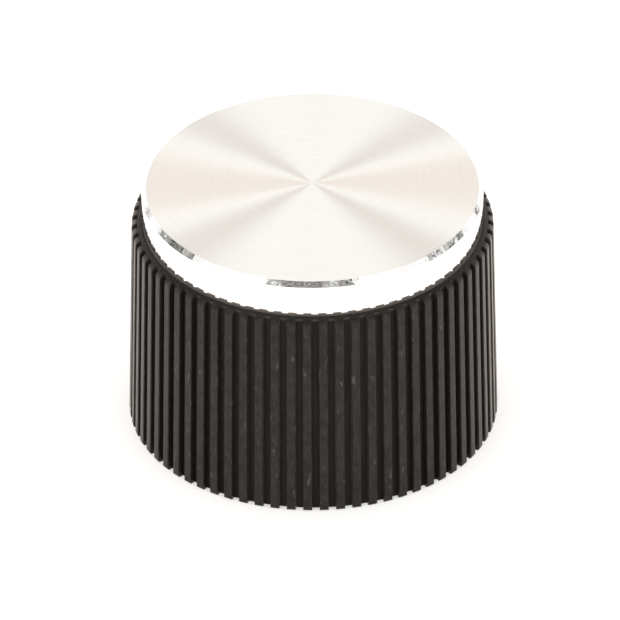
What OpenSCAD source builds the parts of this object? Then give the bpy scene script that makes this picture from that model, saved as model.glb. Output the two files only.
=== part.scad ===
// Push-on control knob: a fluted moulded grip under a spun metal cap
// Millimetres. The foot stands on z = 0 and the shaft axis is the Z axis.

/* [Grip] */
// Diameter over the rib tips at the foot
foot_d = 25.4; // [22:0.1:40]
// Height of the plastic rim above the foot
rim_h = 15.45; // [12:0.05:24]
// Draft of the grip, in degrees
draft = 1.2; // [0.8:0.1:4]
// Number of ribs round the grip
rib_count = 70; // [36:1:80]
// Width of the groove between two ribs
groove_w = 0.51; // [0.3:0.01:0.6]
// Depth of the groove below the rib tips at the foot
groove_depth = 0.42; // [0.25:0.01:0.6]
// Depth of the groove below the rib tips at the rim
rim_groove_depth = 0.39; // [0.15:0.01:0.45]
// Rounding along the edges of each rib
rib_edge_r = 0.1; // [0.05:0.01:0.15]
// Rounding of the outer edge of the foot
foot_r = 0.15; // [0.1:0.05:0.5]
// Rounding of the outer edge of the rim
rim_r = 0.38; // [0.2:0.01:0.5]

/* [Moulding] */
// Wall of the skirt behind the grooves
skirt_wall = 1.6; // [1.2:0.1:2]
// Wall of the boss and of the crown under the cap
crown_wall = 1.6; // [1:0.1:2]
// Number of webs that tie the hub to the skirt
web_count = 4; // [3:1:6]
// Thickness of a web
web_t = 1.2; // [0.8:0.1:2]
// Height of a web below the crown
web_h = 6; // [4:0.5:7]

/* [Cap] */
// Step from the rib tips at the rim to the wall of the cap
rim_step = 0.69; // [0.6:0.01:1.2]
// Height of the cap above the rim
cap_rise = 2.72; // [1.8:0.02:4]
// Depth of the cap's skirt below the rim
cap_sink = 0.8; // [0.4:0.1:1.5]
// Thickness of the face of the cap
cap_face_t = 1; // [0.6:0.1:1.4]
// Thickness of the skirt of the cap
cap_skirt_t = 0.8; // [0.5:0.1:1.2]
// Width of the bright chamfer, seen from above
chamfer_w = 0.31; // [0.1:0.01:0.5]
// Height of the bright chamfer
chamfer_h = 0.36; // [0.1:0.02:0.5]
// Clearance on each side of the cap's skirt in its seat
cap_fit = 0.03; // [0.02:0.01:0.1]
// Room for adhesive under the face of the cap
glue_gap = 0.1; // [0.05:0.05:0.3]

/* [Hub] */
// Diameter of the shaft that the hub pushes onto
shaft_d = 6; // [4:0.1:8]
// Wall of the hub round the shaft
hub_wall = 2; // [1.5:0.1:2.5]
// Distance of the end of the hub above the foot
hub_recess = 0.8; // [0.4:0.1:2]
// Plastic left between the end of the bore and the cap
bore_floor = 4.2; // [2:0.1:5]
// Lead-in chamfer at the mouth of the bore
bore_lead = 0.5; // [0.2:0.1:0.8]
// Number of slots that let the hub spring
slot_count = 4; // [2:1:4]
// Width of a slot
slot_w = 0.7; // [0.4:0.1:1]
// Length of a slot from the end of the hub
slot_len = 5.5; // [4.5:0.5:6.5]

/* [Spring] */
// Thickness of the spring strip
spring_t = 0.4; // [0.2:0.05:0.6]
// Width of the spring strip along the hub
spring_w = 3; // [1.5:0.1:3.2]
// Distance of the spring from the end of the hub
spring_offset = 1; // [0.6:0.1:1.2]
// Opening between the two ends of the spring
spring_split = 1.4; // [0.6:0.1:3]
// Depth of the groove that holds the spring on the hub
spring_seat = 0.3; // [0.1:0.05:0.5]
// Clearance round the spring in its groove
spring_fit = 0.03; // [0.02:0.01:0.1]

/* [Hidden] */
$fn = 96;
// How far a cutter runs past the face that it opens
past = 0.5;

// Levels, from the foot up
seat_z = rim_h - cap_sink;
cap_top = rim_h + cap_rise;
boss_top = cap_top - cap_face_t - glue_gap;
crown_z = boss_top - crown_wall;
shoulder_z = seat_z - crown_wall;
bore_end = boss_top - bore_floor;
web_z = crown_z - web_h;
spring_z = hub_recess + spring_offset;

// Radius over the rib tips at a height
function tip_r(z) = foot_d / 2 - z * tan(draft);
// Radius of the inside of the skirt at a height
function skirt_in_r(z) = tip_r(z) - groove_depth - skirt_wall;
// Radius half way through the skirt at a height
function skirt_mid_r(z) = skirt_in_r(z) + skirt_wall / 2;

// The floor of a groove: its radius at the foot and its own draft
floor_r = tip_r(0) - groove_depth;
floor_draft = atan((floor_r - tip_r(rim_h) + rim_groove_depth) / rim_h);

// Radii of the cap and of the boss that carries it
cap_r = tip_r(rim_h) - rim_step;
cap_in_r = cap_r - cap_skirt_t;
seat_out_r = cap_r + cap_fit;
boss_r = cap_in_r - cap_fit;
boss_in_r = boss_r - crown_wall;
boss_mid_r = boss_r - crown_wall / 2;

// Radii of the hub and of its spring
bore_r = shaft_d / 2;
hub_r = bore_r + hub_wall;
hub_mid_r = bore_r + hub_wall / 2;
spring_seat_r = hub_r - spring_seat;
spring_in_r = spring_seat_r + spring_fit;
spring_out_r = spring_in_r + spring_t;

// The rim is rounded between its flat land and the drafted side
rim_centre = [tip_r(rim_h - rim_r) - rim_r / cos(draft), rim_h - rim_r];
rim_tangent = rim_centre + rim_r * [cos(draft), sin(draft)];

// The foot is rounded between the standing face and the drafted side
foot_centre = [tip_r(0) - foot_r * (1 + sin(draft)) / cos(draft), foot_r];
foot_tangent = foot_centre + foot_r * [cos(draft), sin(draft)];

// Half section of the moulding before the flutes, hollow and bore are cut
module envelope_section() {
    difference() {
        union() {
            polygon([
                [0, 0],
                [foot_centre.x, 0],
                foot_tangent,
                rim_tangent,
                [rim_centre.x, rim_h],
                [boss_r, rim_h],
                [boss_r, boss_top],
                [0, boss_top]
            ]);
            translate(rim_centre) circle(rim_r);
            translate(foot_centre) circle(foot_r);
        }
        translate([boss_r, seat_z])
            square([seat_out_r - boss_r, cap_sink + past]);
    }
}

// Half section of the hollow: skirt below, cored boss above
module hollow_section() {
    polygon([
        [0, -past],
        [skirt_in_r(-past), -past],
        [skirt_in_r(shoulder_z), shoulder_z],
        [boss_in_r, shoulder_z],
        [boss_in_r, crown_z],
        [0, crown_z]
    ]);
}

// Cross-section of the rounded mouth of one groove, with the rib tips at y = 0
module mouth_section() {
    mouth_w = groove_w + 2 * rib_edge_r;
    difference() {
        translate([-mouth_w / 2, -rib_edge_r])
            square([mouth_w, rib_edge_r + past]);
        for (side = [-1, 1])
            translate([side * mouth_w / 2, -rib_edge_r])
                circle(rib_edge_r);
    }
}

// One groove from below the foot to above the rim; its floor is less drafted than the rib tips
module groove() {
    cut_l = rim_h / cos(draft) + 2 * past;
    translate([0, floor_r, 0])
        rotate([floor_draft, 0, 0])
            translate([-groove_w / 2, 0, -past])
                cube([groove_w, groove_depth + past, cut_l]);
    translate([0, tip_r(0), 0])
        rotate([draft, 0, 0])
            translate([0, 0, -past])
                linear_extrude(cut_l)
                    mouth_section();
}

// Outline of one web, from the middle of the hub wall to the middle of the shell
module web_outline() {
    polygon([
        [hub_mid_r, web_z],
        [skirt_mid_r(web_z), web_z],
        [skirt_mid_r(shoulder_z), shoulder_z + crown_wall / 2],
        [boss_mid_r, shoulder_z + crown_wall / 2],
        [boss_mid_r, crown_z + crown_wall / 2],
        [hub_mid_r, crown_z + crown_wall / 2]
    ]);
}

// One web, standing across the hollow
module web() {
    translate([0, web_t / 2, 0])
        rotate([90, 0, 0])
            linear_extrude(web_t)
                web_outline();
}

// The hub with the groove for its spring
module hub() {
    seat_w = spring_w + 2 * spring_fit;
    difference() {
        translate([0, 0, hub_recess])
            cylinder(h = crown_z + crown_wall / 2 - hub_recess, r = hub_r);
        translate([0, 0, spring_z - spring_fit])
            difference() {
                cylinder(h = seat_w, r = hub_r + past);
                cylinder(h = seat_w, r = spring_seat_r);
            }
    }
}

// The blind bore with its lead-in
module shaft_bore() {
    translate([0, 0, hub_recess - past])
        cylinder(h = bore_end - hub_recess + past, r = bore_r);
    translate([0, 0, hub_recess])
        cylinder(h = bore_lead, r1 = bore_r + bore_lead, r2 = bore_r);
}

// One slot through the wall of the hub
module hub_slot() {
    translate([0, -slot_w / 2, hub_recess - past])
        cube([hub_r + past, slot_w, slot_len + past]);
}

module fluted_body() {
    color("#2b2826")
    difference() {
        union() {
            difference() {
                rotate_extrude() envelope_section();
                rotate_extrude() hollow_section();
                for (i = [0 : rib_count - 1])
                    rotate((i + 0.5) * 360 / rib_count) groove();
            }
            hub();
            for (i = [0 : web_count - 1])
                rotate((i + 0.5) * 360 / web_count) web();
        }
        shaft_bore();
        for (i = [0 : slot_count - 1])
            rotate(i * 360 / slot_count) hub_slot();
    }
}

module spun_cap() {
    color("#dedbd5")
    rotate_extrude()
        polygon([
            [0, cap_top - cap_face_t],
            [cap_in_r, cap_top - cap_face_t],
            [cap_in_r, seat_z],
            [cap_r, seat_z],
            [cap_r, cap_top - chamfer_h],
            [cap_r - chamfer_w, cap_top],
            [0, cap_top]
        ]);
}

module hub_spring() {
    color("#8d9196")
    translate([0, 0, spring_z])
        difference() {
            cylinder(h = spring_w, r = spring_out_r);
            translate([0, 0, -past])
                cylinder(h = spring_w + 2 * past, r = spring_in_r);
            rotate(180 / slot_count)
                translate([0, -spring_split / 2, -past])
                    cube([spring_out_r + past, spring_split, spring_w + 2 * past]);
        }
}

fluted_body();
spun_cap();
hub_spring();
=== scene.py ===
import math
from collections import namedtuple

import bpy
from mathutils import Matrix, Vector


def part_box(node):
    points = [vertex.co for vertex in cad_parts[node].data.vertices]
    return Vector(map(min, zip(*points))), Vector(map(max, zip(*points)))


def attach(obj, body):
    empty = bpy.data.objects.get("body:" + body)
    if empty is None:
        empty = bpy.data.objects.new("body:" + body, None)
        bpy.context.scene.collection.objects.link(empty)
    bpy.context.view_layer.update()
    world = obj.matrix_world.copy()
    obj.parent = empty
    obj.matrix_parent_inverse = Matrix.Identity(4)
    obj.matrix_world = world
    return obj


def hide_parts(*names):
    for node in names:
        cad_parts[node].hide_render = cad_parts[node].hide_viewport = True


# The knob's solids are the fixed frame that everything here is fitted to
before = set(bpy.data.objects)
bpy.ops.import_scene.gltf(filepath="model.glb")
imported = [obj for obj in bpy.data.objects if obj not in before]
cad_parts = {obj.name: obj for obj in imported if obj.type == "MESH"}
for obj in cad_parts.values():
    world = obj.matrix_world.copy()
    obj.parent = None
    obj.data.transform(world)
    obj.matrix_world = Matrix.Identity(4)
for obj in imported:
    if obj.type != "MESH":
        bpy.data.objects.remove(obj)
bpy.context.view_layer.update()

MM = 0.001
MICRON = 0.001 * MM

# A point on an object in millimetres, with its radius from the shaft axis and its angle round it
Place = namedtuple("Place", "point x y z radius angle")

# Sizes of the grip, in millimetres, as in the solid
FOOT_R = 12.7
RIM_H = 15.45
RIM_R = 0.38
DRAFT = math.radians(1.2)

# Sizes of the cap, in millimetres, as in the solid
CHAMFER_W = 0.31
CHAMFER_H = 0.36
CAP_FACE_T = 1.0
CAP_SKIRT_T = 0.8
# Rounding of the cap's edges, the steps in each and the steps round the cap
EDGE_R = 0.03
EDGE_STEPS = 3
CAP_SEGMENTS = 288

# The photograph's frame and viewpoint, with lengths in metres
IMAGE_PX = 620
SENSOR_MM = 36.0
CAMERA_AZIMUTH = math.radians(1.95)
CAMERA_ELEVATION = math.radians(34.8)
CAMERA_ROLL = math.radians(-0.286)
CAMERA_DISTANCE = 0.889
TARGET_HEIGHT = 0.00762
# Radius of the foot in the picture, at the target's distance, in pixels
FOOT_R_PX = 184.778
# Where the target falls in the picture, in pixels right of and below its middle
TARGET_OFFSET_PX = (3.03, 3.27)

# The floor: half its width, in metres, and its colour
FLOOR_HALF = 1.5
FLOOR_COLOR = (0.95, 0.945, 0.935)
# What the floor adds, towards the camera and in reflections, to the light that falls on it
FLOOR_GLOW = 0.42

# Numbers of a Mix node's two colour inputs and of its colour output, whose names are not unique
MIX_INPUTS = (6, 7)
MIX_RESULT = 2


class Graph:
    """Short hand for the nodes of one material or world."""

    def __init__(self, owner):
        owner.use_nodes = True
        self.owner = owner
        self.nodes = owner.node_tree.nodes
        self.links = owner.node_tree.links
        self.nodes.clear()

    def put(self, value, socket):
        """Link an output to a socket, or set a plain value on it."""
        if isinstance(value, bpy.types.NodeSocket):
            self.links.new(value, socket)
        else:
            socket.default_value = value

    def math(self, operation, *values, clamp=False):
        node = self.nodes.new("ShaderNodeMath")
        node.operation = operation
        node.use_clamp = clamp
        for value, socket in zip(values, node.inputs):
            self.put(value, socket)
        return node.outputs[0]

    def vector_math(self, operation, *values):
        node = self.nodes.new("ShaderNodeVectorMath")
        node.operation = operation
        for value, socket in zip(values, node.inputs):
            self.put(value, socket)
        return node.outputs["Value" if operation in ("LENGTH", "DOT_PRODUCT") else "Vector"]

    def combine(self, x, y, z):
        node = self.nodes.new("ShaderNodeCombineXYZ")
        for value, socket in zip((x, y, z), node.inputs):
            self.put(value, socket)
        return node.outputs[0]

    def separate(self, vector):
        node = self.nodes.new("ShaderNodeSeparateXYZ")
        self.put(vector, node.inputs[0])
        return node.outputs

    def step(self, value, low, high, to_low=0.0, to_high=1.0):
        """A smooth step from one value to another."""
        node = self.nodes.new("ShaderNodeMapRange")
        node.interpolation_type = "SMOOTHSTEP"
        self.put(value, node.inputs["Value"])
        for name, number in (("From Min", low), ("From Max", high), ("To Min", to_low), ("To Max", to_high)):
            self.put(number, node.inputs[name])
        return node.outputs["Result"]

    def noise(self, vector, scale=1.0, detail=2.0, roughness=0.5):
        node = self.nodes.new("ShaderNodeTexNoise")
        self.put(vector, node.inputs["Vector"])
        node.inputs["Scale"].default_value = scale
        node.inputs["Detail"].default_value = detail
        node.inputs["Roughness"].default_value = roughness
        return node.outputs["Fac"]

    def mix(self, factor, first, second):
        """Blend of two colours."""
        node = self.nodes.new("ShaderNodeMix")
        node.data_type = "RGBA"
        self.put(factor, node.inputs["Factor"])
        for value, number in zip((first, second), MIX_INPUTS):
            color = value if isinstance(value, bpy.types.NodeSocket) else (*value, 1)
            self.put(color, node.inputs[number])
        return node.outputs[MIX_RESULT]

    def bump(self, height, distance, normal=None):
        node = self.nodes.new("ShaderNodeBump")
        node.inputs["Strength"].default_value = 1.0
        node.inputs["Distance"].default_value = distance
        self.put(height, node.inputs["Height"])
        if normal is not None:
            self.put(normal, node.inputs["Normal"])
        return node.outputs[0]

    def place(self):
        """Where the shaded point lies on the object."""
        coordinates = self.nodes.new("ShaderNodeTexCoord").outputs["Object"]
        point = self.vector_math("MULTIPLY", coordinates, (1 / MM, 1 / MM, 1 / MM))
        x, y, z = self.separate(point)
        square = self.math("ADD", self.math("MULTIPLY", x, x), self.math("MULTIPLY", y, y))
        return Place(point, x, y, z, self.math("SQRT", square), self.math("ARCTAN2", y, x))

    def stretched_noise(self, vector, stretch, detail, roughness):
        """Noise with its own scale along each axis."""
        stretched = self.vector_math("MULTIPLY", vector, stretch)
        return self.noise(stretched, detail=detail, roughness=roughness)

    def to_world(self, vector, kind="VECTOR"):
        """A direction on the object, turned to world space."""
        node = self.nodes.new("ShaderNodeVectorTransform")
        node.vector_type = kind
        node.convert_from = "OBJECT"
        node.convert_to = "WORLD"
        self.put(vector, node.inputs[0])
        return node.outputs[0]

    def principled(self, **values):
        shader = self.nodes.new("ShaderNodeBsdfPrincipled")
        for name, value in values.items():
            self.put(value, shader.inputs[name.replace("_", " ")])
        output = self.nodes.new("ShaderNodeOutputMaterial")
        self.links.new(shader.outputs[0], output.inputs["Surface"])


def new_graph(name):
    return Graph(bpy.data.materials.new(name))


def make_camera():
    """Camera at the photograph's viewing angle, with its small roll and offset."""
    data = bpy.data.cameras.new("camera")
    camera = bpy.data.objects.new("camera", data)
    bpy.context.scene.collection.objects.link(camera)
    back = Vector((
        math.sin(CAMERA_AZIMUTH) * math.cos(CAMERA_ELEVATION),
        -math.cos(CAMERA_AZIMUTH) * math.cos(CAMERA_ELEVATION),
        math.sin(CAMERA_ELEVATION),
    ))
    turn = (-back).to_track_quat("-Z", "Y").to_matrix().to_4x4()
    place = Matrix.Translation(Vector((0, 0, TARGET_HEIGHT)) + back * CAMERA_DISTANCE)
    camera.matrix_world = place @ turn @ Matrix.Rotation(CAMERA_ROLL, 4, "Z")
    data.sensor_width = SENSOR_MM
    data.lens = SENSOR_MM * FOOT_R_PX / (FOOT_R * MM) * CAMERA_DISTANCE / IMAGE_PX
    data.shift_x = -TARGET_OFFSET_PX[0] / IMAGE_PX
    data.shift_y = TARGET_OFFSET_PX[1] / IMAGE_PX
    data.clip_start = 0.01
    data.clip_end = 10
    bpy.context.scene.camera = camera


# The light tent, in directions seen from the object: x to the right, y away from the camera, z up.
# Colour of its panels by their angle in the fan of directions that a spun face mirrors, in degrees
TENT_WHITE = (1.03, 1.03, 1.03)
TENT_FAN = (
    (0.0, (0.90, 0.825, 0.775)),
    (17.0, (0.90, 0.825, 0.775)),
    (20.5, (1.15, 1.15, 1.12)),
    (31.0, (1.15, 1.15, 1.12)),
    (37.0, (0.52, 0.44, 0.37)),
    (44.0, (0.52, 0.44, 0.37)),
    (57.0, (1.07, 1.04, 1.01)),
    (66.0, (1.14, 1.13, 1.10)),
    (90.0, (1.11, 1.09, 1.06)),
)
# The tent stands a little askew, so its right and left panels fall at different angles
TENT_SKEW = math.radians(2.0)
# The panels end above a white skirt, which reaches higher towards the sides: fan angles and heights
SKIRT_FAN = (math.radians(12.0), math.radians(40.0))
SKIRT_HEIGHT = (0.14, 0.56)
SKIRT_EDGE = 0.12
# Dark gaps in the tent: middle, direction along the gap, half length and half width in degrees
TENT_GAPS = (
    ((0.905, 0.151, 0.3995), (-0.045, -0.898, 0.438), 15.5, 5.0),
    ((0.0, -0.6858, 0.7278), (1.0, 0.0, 0.0), 23.0, 4.6),
    ((0.757, 0.646, 0.099), (0.5, -0.67, 0.55), 2.6, 2.6),
    ((0.0, -0.821, 0.571), (1.0, 0.0, 0.0), 42.0, 6.0),
)
# What shows in a gap: dark and paler patches, with slits of light between them
GAP_DARK = (0.05, 0.05, 0.048)
GAP_PALE = (0.46, 0.45, 0.43)
# Softness of a gap's edge, in degrees
GAP_EDGE = 0.8
# Fineness of the patches and of the slits, and the levels of noise between which they come in
PATCH_SCALE = 14.0
PATCH_LEVELS = (0.42, 0.56)
SLIT_SCALE = 11.0
SLIT_LEVELS = (0.62, 0.65)


def gap_mask(graph, direction, middle, along, length, width):
    """One where a direction lies in a gap of the tent and nought outside it."""
    middle, along = Vector(middle).normalized(), Vector(along)
    along = (along - middle * along.dot(middle)).normalized()
    ahead = graph.vector_math("DOT_PRODUCT", direction, tuple(middle))
    mask = graph.math("GREATER_THAN", ahead, 0.0)
    for axis, half in ((along, length), (middle.cross(along), width)):
        off = graph.vector_math("DOT_PRODUCT", direction, tuple(axis))
        reach = graph.math("ABSOLUTE", graph.math("DIVIDE", off, ahead))
        low, high = (math.tan(math.radians(half + edge)) for edge in (-GAP_EDGE, GAP_EDGE))
        mask = graph.math("MULTIPLY", mask, graph.step(reach, low, high, 1.0, 0.0))
    return mask


def make_world():
    """White tent with a backdrop, side panels and a roof; the camera itself sees plain white."""
    world = bpy.data.worlds.new("tent")
    bpy.context.scene.world = world
    graph = Graph(world)
    ray = graph.nodes.new("ShaderNodeTexCoord").outputs["Generated"]
    turn = graph.nodes.new("ShaderNodeVectorRotate")
    turn.rotation_type = "Z_AXIS"
    turn.inputs["Angle"].default_value = -CAMERA_AZIMUTH
    graph.put(ray, turn.inputs["Vector"])
    x, y, z = graph.separate(turn.outputs[0])
    side = graph.math("ABSOLUTE", x)
    rise = graph.math("ABSOLUTE", graph.math("SUBTRACT", y, math.cos(CAMERA_ELEVATION)))
    skew = graph.math("MULTIPLY", graph.math("SIGN", x), TENT_SKEW)
    fan = graph.math("SUBTRACT", graph.math("ARCTAN2", rise, side), skew)
    ramp = graph.nodes.new("ShaderNodeValToRGB")
    stops = ramp.color_ramp.elements
    while len(stops) < len(TENT_FAN):
        stops.new(0.5)
    for stop, (degrees, color) in zip(stops, TENT_FAN):
        stop.position = degrees / 90
        stop.color = (*color, 1)
    graph.put(graph.math("DIVIDE", fan, math.pi / 2, clamp=True), ramp.inputs[0])
    above = graph.math("SUBTRACT", z, graph.step(fan, *SKIRT_FAN, *SKIRT_HEIGHT))
    light = graph.mix(graph.step(above, 0.0, SKIRT_EDGE), TENT_WHITE, ramp.outputs[0])
    patches = graph.noise(turn.outputs[0], PATCH_SCALE, detail=2.0, roughness=0.6)
    slits = graph.noise(turn.outputs[0], SLIT_SCALE, detail=0.0)
    inside = graph.mix(graph.step(patches, *PATCH_LEVELS), GAP_DARK, GAP_PALE)
    inside = graph.mix(graph.step(slits, *SLIT_LEVELS), inside, TENT_WHITE)
    mirrored = graph.combine(side, y, z)
    for middle, along, length, width in TENT_GAPS:
        light = graph.mix(gap_mask(graph, mirrored, middle, along, length, width), light, inside)
    ray_kind = graph.nodes.new("ShaderNodeLightPath")
    background = graph.nodes.new("ShaderNodeBackground")
    graph.put(graph.mix(ray_kind.outputs["Is Camera Ray"], light, (1, 1, 1)), background.inputs["Color"])
    output = graph.nodes.new("ShaderNodeOutputWorld")
    graph.links.new(background.outputs[0], output.inputs["Surface"])


def make_floor():
    """Pale floor that shows white and keeps the shadow under the ribs."""
    mesh = bpy.data.meshes.new("floor")
    corners = [(x * FLOOR_HALF, y * FLOOR_HALF, 0) for x, y in ((-1, -1), (1, -1), (1, 1), (-1, 1))]
    mesh.from_pydata(corners, [], [(0, 1, 2, 3)])
    floor = bpy.data.objects.new("floor", mesh)
    bpy.context.scene.collection.objects.link(floor)
    graph = new_graph("floor")
    path = graph.nodes.new("ShaderNodeLightPath")
    seen = graph.math("MAXIMUM", path.outputs["Is Camera Ray"], path.outputs["Is Glossy Ray"])
    seen = graph.math("MAXIMUM", seen, path.outputs["Is Transmission Ray"])
    glow = graph.nodes.new("ShaderNodeEmission")
    graph.put(graph.math("MULTIPLY", seen, FLOOR_GLOW), glow.inputs["Strength"])
    diffuse = graph.nodes.new("ShaderNodeBsdfDiffuse")
    diffuse.inputs["Color"].default_value = (*FLOOR_COLOR, 1)
    both = graph.nodes.new("ShaderNodeAddShader")
    graph.links.new(diffuse.outputs[0], both.inputs[0])
    graph.links.new(glow.outputs[0], both.inputs[1])
    output = graph.nodes.new("ShaderNodeOutputMaterial")
    graph.links.new(both.outputs[0], output.inputs["Surface"])
    mesh.materials.append(graph.owner)


# Levels that nearly all of a noise lies between
NOISE_RANGE = (0.2, 0.8)

# Finishes of the metal: colours and roughness where their texture is low and where it is high
FACE_COLORS = (0.955, 0.94, 0.905), (0.98, 0.965, 0.935)
FACE_ROUGHNESS = (0.24, 0.28)
CHAMFER_COLORS = (0.95, 0.945, 0.93), (0.985, 0.98, 0.97)
CHAMFER_ROUGHNESS = (0.05, 0.12)
WALL_COLORS = (0.965, 0.96, 0.945), (0.985, 0.98, 0.97)
WALL_ROUGHNESS = (0.05, 0.09)
INSIDE_COLORS = (0.72, 0.71, 0.69), (0.82, 0.81, 0.79)
INSIDE_ROUGHNESS = (0.35, 0.5)
STEEL_COLORS = (0.50, 0.50, 0.49), (0.58, 0.54, 0.47)
STEEL_ROUGHNESS = (0.24, 0.38)

# Where the spun lines run round, in millimetres from the shaft axis
SPIN_CENTRE = (0.0, 0.42)
# How far the spun lines of the face, the turned lines of the wall and the strip's draw lines change
# along their way round
SPIN_DRIFT = 0.35
TURNED_DRIFT = 0.3
STRIP_DRIFT = 1.2


def ring(graph, angle, radius, height):
    """A point on a ring, for noise that closes on itself round the axis."""
    return graph.combine(
        graph.math("MULTIPLY", graph.math("COSINE", angle), radius),
        graph.math("MULTIPLY", graph.math("SINE", angle), radius),
        height,
    )


def spun_face():
    """Aluminium face spun with fine concentric lines."""
    graph = new_graph("spun_face")
    at = graph.place()
    off_x = graph.math("SUBTRACT", at.x, SPIN_CENTRE[0])
    off_y = graph.math("SUBTRACT", at.y, SPIN_CENTRE[1])
    spin = graph.vector_math("LENGTH", graph.combine(off_x, off_y, 0.0))
    around = graph.combine(graph.math("MULTIPLY", off_y, -1.0), off_x, 0.0)
    drift = ring(graph, at.angle, SPIN_DRIFT, spin)
    wide = graph.noise(drift, scale=5.0, detail=2.0)
    fine = graph.noise(drift, scale=22.0, detail=2.0, roughness=0.6)
    lines = graph.math("ADD", graph.math("MULTIPLY", wide, 0.5), graph.math("MULTIPLY", fine, 0.5))
    graph.principled(
        Base_Color=graph.mix(graph.step(lines, 0.35, 0.65), *FACE_COLORS),
        Metallic=1.0,
        Roughness=graph.step(fine, *NOISE_RANGE, *FACE_ROUGHNESS),
        Anisotropic=1.0,
        Anisotropic_Rotation=0.25,
        Tangent=graph.to_world(graph.vector_math("NORMALIZE", around)),
        Normal=graph.bump(lines, 1.0 * MICRON),
    )
    return graph.owner


# Radius of the ring that the chatter marks follow, in millimetres, and their stretch across the chamfer
CHATTER_R = 11.5
CHATTER_STRETCH = 0.8


def bright_chamfer():
    """Diamond-turned chamfer: bright, with the tool's chatter across it."""
    graph = new_graph("bright_chamfer")
    at = graph.place()
    edge = ring(graph, at.angle, CHATTER_R, graph.math("MULTIPLY", at.z, CHATTER_STRETCH))
    chatter = graph.noise(edge, scale=2.2, detail=1.0)
    nicks = graph.noise(at.point, scale=4.5, detail=1.0)
    height = graph.math("ADD", chatter, graph.math("MULTIPLY", nicks, 0.6))
    graph.principled(
        Base_Color=graph.mix(graph.step(nicks, 0.3, 0.7), *CHAMFER_COLORS),
        Metallic=1.0,
        Roughness=graph.step(nicks, *NOISE_RANGE, *CHAMFER_ROUGHNESS),
        Normal=graph.bump(height, 11.0 * MICRON),
    )
    return graph.owner


def bright_wall():
    """Polished side wall with faint turned lines."""
    graph = new_graph("bright_wall")
    at = graph.place()
    drift = graph.combine(0.0, graph.math("MULTIPLY", at.angle, TURNED_DRIFT), at.z)
    turned = graph.noise(drift, scale=9.0, detail=3.0, roughness=0.6)
    graph.principled(
        Base_Color=graph.mix(graph.step(turned, 0.3, 0.7), *WALL_COLORS),
        Metallic=1.0,
        Roughness=graph.step(turned, *NOISE_RANGE, *WALL_ROUGHNESS),
        Normal=graph.bump(turned, 0.6 * MICRON),
    )
    return graph.owner


def drawn_inside():
    """Plain drawn inside of the cap."""
    graph = new_graph("drawn_inside")
    cloud = graph.noise(graph.place().point, scale=1.5, detail=3.0)
    graph.principled(
        Base_Color=graph.mix(cloud, *INSIDE_COLORS),
        Metallic=1.0,
        Roughness=graph.step(cloud, *NOISE_RANGE, *INSIDE_ROUGHNESS),
        Normal=graph.bump(cloud, 3.0 * MICRON),
    )
    return graph.owner


def rounded(points, eased):
    """The profile with a small arc at each corner whose number is in eased."""
    out = []
    count = len(points)
    for i, point in enumerate(points):
        if i not in eased:
            out.append(point)
            continue
        before = (Vector(points[i - 1]) - Vector(point)).normalized()
        after = (Vector(points[(i + 1) % count]) - Vector(point)).normalized()
        half = before.angle(after) / 2
        reach = EDGE_R / math.tan(half)
        centre = Vector(point) + (before + after).normalized() * (EDGE_R / math.sin(half))
        first = Vector(point) + before * reach - centre
        turn = (Vector(point) + after * reach - centre).angle_signed(first)
        for k in range(EDGE_STEPS + 1):
            out.append(tuple(centre + Matrix.Rotation(turn * k / EDGE_STEPS, 2) @ first))
    return out


def guarded(points, reach):
    """The profile with a guard point near each end of its long runs, so that the flats shade flat."""
    out = []
    for i, point in enumerate(points):
        out.append(point)
        if i + 1 == len(points):
            break
        run = Vector(points[i + 1]) - Vector(point)
        if run.length > 4 * reach:
            out.append(tuple(Vector(point) + run.normalized() * reach))
            out.append(tuple(Vector(points[i + 1]) - run.normalized() * reach))
    return out


# The cap's finishes, in the order of its materials
FACE, CHAMFER, WALL, INSIDE = range(4)


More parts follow.
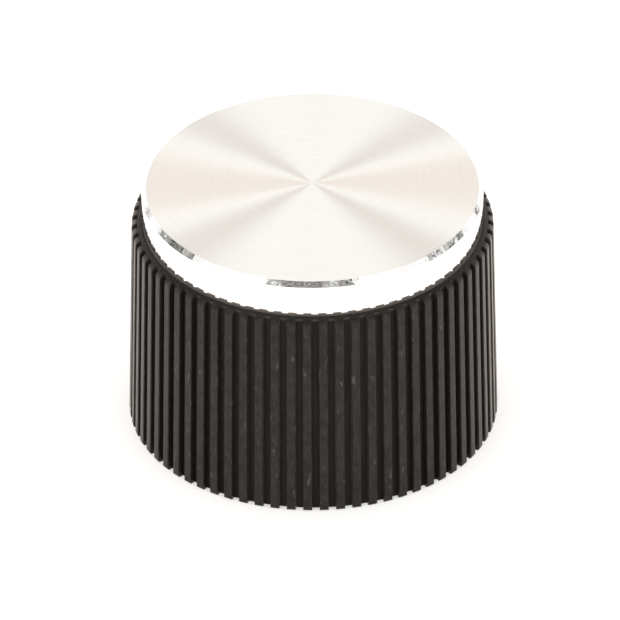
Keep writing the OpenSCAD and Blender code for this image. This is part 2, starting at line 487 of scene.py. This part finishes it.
def make_cap():
    """The cap as one turned mesh, with its face, chamfer, wall and inside finished apart."""
    low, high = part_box("spun_cap")
    radius, top, seat = high[0] / MM, high[2] / MM, low[2] / MM
    inside = radius - CAP_SKIRT_T
    corners = [
        (0.0, top),
        (radius - CHAMFER_W, top),
        (radius, top - CHAMFER_H),
        (radius, seat),
        (inside, seat),
        (inside, top - CAP_FACE_T),
        (0.0, top - CAP_FACE_T),
    ]
    # All corners are eased but the one inside the cup and the two ends on the axis
    eased = (1, 2, 3, 4)
    profile = guarded(rounded(corners, eased), EDGE_R / 2)
    vertices, faces, parts, rings = [], [], [], []
    for r, z in profile:
        if r == 0:
            rings.append([len(vertices)])
            vertices.append((0, 0, z * MM))
            continue
        rings.append(list(range(len(vertices), len(vertices) + CAP_SEGMENTS)))
        for k in range(CAP_SEGMENTS):
            a = 2 * math.pi * k / CAP_SEGMENTS
            vertices.append((r * math.cos(a) * MM, r * math.sin(a) * MM, z * MM))
    for i in range(len(rings) - 1):
        (r0, z0), (r1, z1) = profile[i], profile[i + 1]
        part = INSIDE
        if min(z0, z1) > top - EDGE_R / 2:
            part = FACE
        elif min(z0, z1) > top - CHAMFER_H - EDGE_R / 4:
            part = CHAMFER
        elif min(r0, r1) > radius - EDGE_R:
            part = WALL
        for k in range(CAP_SEGMENTS):
            n = (k + 1) % CAP_SEGMENTS
            a, b = rings[i], rings[i + 1]
            if len(a) == 1:
                faces.append((a[0], b[k], b[n]))
            elif len(b) == 1:
                faces.append((a[k], b[0], a[n]))
            else:
                faces.append((a[k], b[k], b[n], a[n]))
            parts.append(part)
    mesh = bpy.data.meshes.new("cap_shell")
    mesh.from_pydata(vertices, [], faces)
    for material in (spun_face(), bright_chamfer(), bright_wall(), drawn_inside()):
        mesh.materials.append(material)
    mesh.polygons.foreach_set("material_index", parts)
    mesh.polygons.foreach_set("use_smooth", [True] * len(faces))
    mesh.update()
    cap = bpy.data.objects.new("cap_shell", mesh)
    bpy.context.scene.collection.objects.link(cap)
    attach(cap, "root")
    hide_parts("spun_cap")


# The rim is shaded as a fuller rounding than the solid has: where it starts and its radius, in millimetres
CROWN_START = 11.45
CROWN_R = 0.93
# Steepest lean of that rounding, as a sine
CROWN_LIMIT = 0.98

# Colours of the grip, dark and pale: rib tips, flanks with painted light, grooves with painted shade
TIP_COLORS = (0.0038, 0.0031, 0.0027), (0.0192, 0.0157, 0.0136)
FLANK_PAINTED_LIGHT_COLORS = (0.020, 0.0160, 0.0136), (0.028, 0.0230, 0.0198)
GROOVE_PAINTED_SHADE_COLORS = (0.0040, 0.0029, 0.0022), (0.0070, 0.0052, 0.0040)
# The same at the open end of a groove, where painted light pales flank and floor, and on a scuff
FLANK_END_PAINTED_LIGHT = (0.046, 0.038, 0.033)
GROOVE_END_PAINTED_LIGHT = (0.014, 0.0114, 0.0098)
SCUFF_COLOR = (0.11, 0.10, 0.09)
SCUFF_SHARE = 0.85
# Levels of noise between which the tips pale and a scuff comes in
MOTTLE_LEVELS = (0.36, 0.64)
SCUFF_LEVELS = (0.60, 0.73)
# Roughness of the grip along its draw lines, and what the grooves add, which handling doesn't polish
GRIP_ROUGHNESS = (0.24, 0.38)
GROOVE_ROUGHNESS = 0.34

# Zones of the grip, each by the two ends of a soft step, in millimetres.
# By depth below the rib tips: where the tips end and where the groove floors start
TIP_DEPTH = (0.04, 0.16)
FLOOR_DEPTH = (0.29, 0.36)
# By height above the start of the rim's rounding: where a tip's land ends, where the flanks and the groove
# floors pale with painted light, and where the fuller rounding comes in
LAND_END = (0.24, 0.36)
FLANK_PAINTED_LIGHT_HEIGHTS = (0.06, 0.3)
GROOVE_PAINTED_LIGHT_HEIGHTS = (0.06, 0.28)
CROWN_COMES_IN = (0.02, 0.08)
# By height above the foot: where the flat of the rim lies
FLAT_HEIGHT = (RIM_H - 0.02, RIM_H - 0.01)


def crown_normal(graph, at):
    """Normal of a rim that is rounded over its whole width, in world space."""
    lean = graph.math("DIVIDE", graph.math("SUBTRACT", at.radius, CROWN_START), CROWN_R)
    lean = graph.math("MINIMUM", graph.math("MAXIMUM", lean, 0.0), CROWN_LIMIT)
    rise = graph.math("SQRT", graph.math("SUBTRACT", 1.0, graph.math("MULTIPLY", lean, lean)))
    share = graph.math("DIVIDE", lean, at.radius)
    out_x, out_y = (graph.math("MULTIPLY", value, share) for value in (at.x, at.y))
    return graph.to_world(graph.combine(out_x, out_y, rise), "NORMAL")


def moulded_plastic():
    """Warm black plastic: fine grain, draw lines along the ribs, scuffs on the rib tips; painted light and
    shade.
    """
    graph = new_graph("moulded_plastic")
    at = graph.place()
    # Height above the start of the rounding of the rim, and depth below the rib tips
    over = graph.math("MAXIMUM", graph.math("SUBTRACT", at.z, RIM_H - RIM_R), 0.0)
    left = graph.math("SUBTRACT", RIM_R * RIM_R, graph.math("MULTIPLY", over, over))
    drop = graph.math("SUBTRACT", RIM_R, graph.math("SQRT", graph.math("MAXIMUM", left, 0.0)))
    tip = graph.math("SUBTRACT", FOOT_R, graph.math("MULTIPLY", at.z, math.tan(DRAFT)))
    depth = graph.math("SUBTRACT", graph.math("SUBTRACT", tip, drop), at.radius)
    # Zones: the rib tips, their lands below the rim, the flat of the rim and the groove floors with it
    tips = graph.step(depth, *TIP_DEPTH, 1.0, 0.0)
    land = graph.math("MULTIPLY", tips, graph.step(over, *LAND_END, 1.0, 0.0))
    flat = graph.step(at.z, *FLAT_HEIGHT)
    floor = graph.math("MAXIMUM", graph.step(depth, *FLOOR_DEPTH), flat)
    # Texture: an even grain, and the rest drawn out along the ribs
    grain = graph.noise(at.point, scale=9.0, detail=3.0, roughness=0.6)
    drawn = graph.stretched_noise(at.point, (7.0, 7.0, 0.35), detail=3.0, roughness=0.6)
    cloud = graph.stretched_noise(at.point, (0.8, 0.8, 0.4), detail=3.0, roughness=0.55)
    spots = graph.stretched_noise(at.point, (3.2, 3.2, 1.1), detail=4.0, roughness=0.65)
    mottle = graph.stretched_noise(at.point, (2.4, 2.4, 1.3), detail=3.0, roughness=0.6)
    # Painted light on the flanks and groove ends, painted shade in the groove floors and on the flat of the
    # rim
    rubbed = graph.mix(graph.step(mottle, *MOTTLE_LEVELS), *TIP_COLORS)
    # Painted light: the flanks are paler than the tips, and paler still towards the groove's open end
    painted_lit_flank = graph.mix(graph.step(over, *FLANK_PAINTED_LIGHT_HEIGHTS), graph.mix(cloud, *FLANK_PAINTED_LIGHT_COLORS), FLANK_END_PAINTED_LIGHT)
    # Painted shade in the groove floors
    painted_shade = graph.mix(cloud, *GROOVE_PAINTED_SHADE_COLORS)
    # Painted light: the groove floor pales towards its open end
    painted_lit_groove_end = graph.mix(graph.step(over, *GROOVE_PAINTED_LIGHT_HEIGHTS), painted_shade, GROOVE_END_PAINTED_LIGHT)
    base = graph.mix(tips, graph.mix(floor, painted_lit_flank, painted_lit_groove_end), rubbed)
    # Painted shade: the flat of the rim takes the grooves' dark colour
    base = graph.mix(flat, base, painted_shade)
    scuff = graph.math("MULTIPLY", graph.step(spots, *SCUFF_LEVELS), land)
    roughness = graph.math(
        "ADD",
        graph.step(drawn, 0.25, 0.75, *GRIP_ROUGHNESS),
        graph.math("MULTIPLY", graph.math("SUBTRACT", floor, flat), GROOVE_ROUGHNESS),
    )
    height = graph.math("ADD", graph.math("MULTIPLY", grain, 0.5), graph.math("MULTIPLY", drawn, 0.7))
    facing = graph.nodes.new("ShaderNodeNewGeometry").outputs["Normal"]
    crown = graph.math("MAXIMUM", graph.math("MULTIPLY", tips, graph.step(over, *CROWN_COMES_IN)), flat)
    crowned = graph.vector_math("NORMALIZE", graph.mix(crown, facing, crown_normal(graph, at)))
    graph.principled(
        Base_Color=graph.mix(graph.math("MULTIPLY", scuff, SCUFF_SHARE), base, SCUFF_COLOR),
        Roughness=roughness,
        Specular_IOR_Level=0.32,
        Specular_Tint=(1.0, 0.94, 0.89, 1.0),
        Sheen_Weight=0.32,
        Sheen_Roughness=0.28,
        Sheen_Tint=(1.0, 0.66, 0.44, 1.0),
        Normal=graph.bump(height, 7.0 * MICRON, crowned),
    )
    return graph.owner


def spring_steel():
    """Tempered strip: satin, drawn round the strip, with a trace of straw colour."""
    graph = new_graph("spring_steel")
    at = graph.place()
    drift = graph.combine(graph.math("MULTIPLY", at.angle, STRIP_DRIFT), at.radius, at.z)
    drawn = graph.noise(drift, scale=9.0, detail=3.0, roughness=0.6)
    cloud = graph.noise(at.point, scale=0.9, detail=2.0)
    tangent = graph.nodes.new("ShaderNodeTangent")
    tangent.direction_type = "RADIAL"
    tangent.axis = "Z"
    graph.principled(
        Base_Color=graph.mix(cloud, *STEEL_COLORS),
        Metallic=1.0,
        Roughness=graph.step(drawn, *NOISE_RANGE, *STEEL_ROUGHNESS),
        Anisotropic=0.5,
        Anisotropic_Rotation=0.25,
        Tangent=tangent.outputs[0],
        Normal=graph.bump(drawn, 3.0 * MICRON),
    )
    return graph.owner


def dress(node, material):
    """Give a CAD node its material and leave its mesh as it is."""
    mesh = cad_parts[node].data
    mesh.materials.clear()
    mesh.materials.append(material)


make_camera()
make_world()
make_floor()
make_cap()
dress("fluted_body", moulded_plastic())
dress("hub_spring", spring_steel())

bpy.context.scene.view_settings.view_transform = "Standard"
